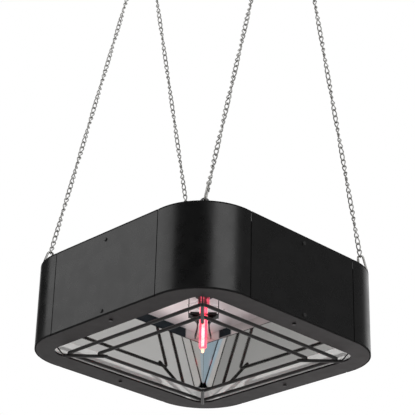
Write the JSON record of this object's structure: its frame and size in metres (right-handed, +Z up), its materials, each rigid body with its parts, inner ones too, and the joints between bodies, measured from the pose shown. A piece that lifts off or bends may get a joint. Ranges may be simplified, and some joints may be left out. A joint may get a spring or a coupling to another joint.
{
  "type": "electric patio heater",
  "caption": "Square hanging patio heater: painted steel housing with rounded corners, mirror-lined mouth with a lamp and wire guard, hung from chains on ceiling hooks.",
  "frame": {"origin": "centre of the ceiling screws' pattern, on the ceiling plane", "axes": "+Z up; Y runs between the two ceiling hooks; X along the housing's other side"},
  "size_m": [0.4236, 0.4236, 0.9543],
  "materials": {
    "grey_paint": "satin",
    "dark_paint": "gloss",
    "frame_paint": "satin",
    "polished_sheet": "polished",
    "nickel": "polished",
    "zinc_steel": "satin",
    "black_screw": "satin",
    "guard_steel": "satin",
    "white_ceramic": "matte",
    "quartz": "polished",
    "hot_coil": "matte",
    "lead_sleeve": "matte",
    "black_plastic": "matte"
  },
  "bodies": {
    "ceiling": {"ceiling_hook_left": "zinc_steel", "ceiling_hook_right": "zinc_steel"},
    "ring_left": {"top_ring_left": "nickel"},
    "ring_right": {"top_ring_right": "nickel"},
    "chains_left": {"chain_left": "nickel", "chain_far": "nickel", "snap_hook_left": "nickel", "snap_hook_far": "nickel"},
    "chains_right": {"chain_near": "nickel", "chain_right": "nickel", "snap_hook_near": "nickel", "snap_hook_right": "nickel"},
    "gate_far": {"gate_far": "nickel"},
    "gate_left": {"gate_left": "nickel"},
    "gate_near": {"gate_near": "nickel"},
    "gate_right": {"gate_right": "nickel"},
    "heater": {"side_far_right": "grey_paint", "side_far_left": "grey_paint", "side_near_left": "grey_paint", "side_near_right": "grey_paint", "corner_far": "dark_paint", "corner_left": "dark_paint", "corner_near": "dark_paint", "corner_right": "dark_paint", "bottom_frame": "frame_paint", "top_plate": "grey_paint", "post_far": "zinc_steel", "post_left": "zinc_steel", "post_near": "zinc_steel", "post_right": "zinc_steel", "eye_far": "zinc_steel", "eye_left": "zinc_steel", "eye_near": "zinc_steel", "eye_right": "zinc_steel", "panel_screws": "black_screw", "frame_screws": "black_screw", "eye_screws": "zinc_steel", "skirt": "polished_sheet", "mirror_far_right": "polished_sheet", "mirror_far_left": "polished_sheet", "mirror_near_left": "polished_sheet", "mirror_near_right": "polished_sheet", "collar": "polished_sheet", "reflector_top": "polished_sheet", "reflector_studs": "zinc_steel", "heat_shield": "zinc_steel", "lamp_bracket": "guard_steel", "lamp_holder": "white_ceramic", "lamp_cap": "white_ceramic", "lamp_tube": "quartz", "lamp_filament": "hot_coil", "lamp_support": "zinc_steel", "terminal_block": "white_ceramic", "leads": "lead_sleeve", "gland_body": "black_plastic", "gland_nut": "black_plastic", "guard_outer": "guard_steel", "guard_inner": "guard_steel", "guard_bars": "guard_steel"}
  },
  "joints": [
    {"name": "ring_left_swing", "type": "hinge", "parent": "ceiling", "child": "ring_left", "pos_m": [0, 0.179, -0.035], "axis": [0, 1, 0], "range_deg": [-12, 12]},
    {"name": "ring_right_swing", "type": "hinge", "parent": "ceiling", "child": "ring_right", "pos_m": [0, -0.179, -0.035], "axis": [0, 1, 0], "range_deg": [-12, 12]},
    {"name": "chains_left_swing", "type": "hinge", "parent": "ring_left", "child": "chains_left", "pos_m": [0, 0.179, -0.0601], "axis": [1, 0, 0], "range_deg": [-12, 12]},
    {"name": "chains_right_swing", "type": "hinge", "parent": "ring_right", "child": "chains_right", "pos_m": [0, -0.179, -0.0601], "axis": [1, 0, 0], "range_deg": [-12, 12]},
    {"name": "heater_level", "type": "hinge", "parent": "chains_left", "child": "heater", "pos_m": [0, 0.179, -0.80602], "axis": [1, 0, 0], "range_deg": [-12, 12]},
    {"name": "gate_far_snap", "type": "hinge", "parent": "chains_left", "child": "gate_far", "pos_m": [0.16986, 0.17587, -0.7812], "axis": [0.679, -0.7166, 0.1598], "range_deg": [0, 20], "stiffness_Nm_per_rad": 0.02, "springref_deg": -9.74},
    {"name": "gate_left_snap", "type": "hinge", "parent": "chains_left", "child": "gate_left", "pos_m": [-0.16986, 0.17587, -0.7812], "axis": [0.679, 0.7166, -0.1598], "range_deg": [0, 20], "stiffness_Nm_per_rad": 0.02, "springref_deg": -9.74},
    {"name": "gate_near_snap", "type": "hinge", "parent": "chains_right", "child": "gate_near", "pos_m": [-0.16986, -0.17587, -0.7812], "axis": [-0.679, 0.7166, 0.1598], "range_deg": [0, 20], "stiffness_Nm_per_rad": 0.02, "springref_deg": -9.74},
    {"name": "gate_right_snap", "type": "hinge", "parent": "chains_right", "child": "gate_right", "pos_m": [0.16986, -0.17587, -0.7812], "axis": [-0.679, -0.7166, -0.1598], "range_deg": [0, 20], "stiffness_Nm_per_rad": 0.02, "springref_deg": -9.74}
  ],
  "couplings": [
    {"joint": "ring_right_swing", "follows": "ring_left_swing", "ratio": 1},
    {"joint": "chains_right_swing", "follows": "chains_left_swing", "ratio": 1},
    {"joint": "heater_level", "follows": "chains_left_swing", "ratio": -1}
  ]
}
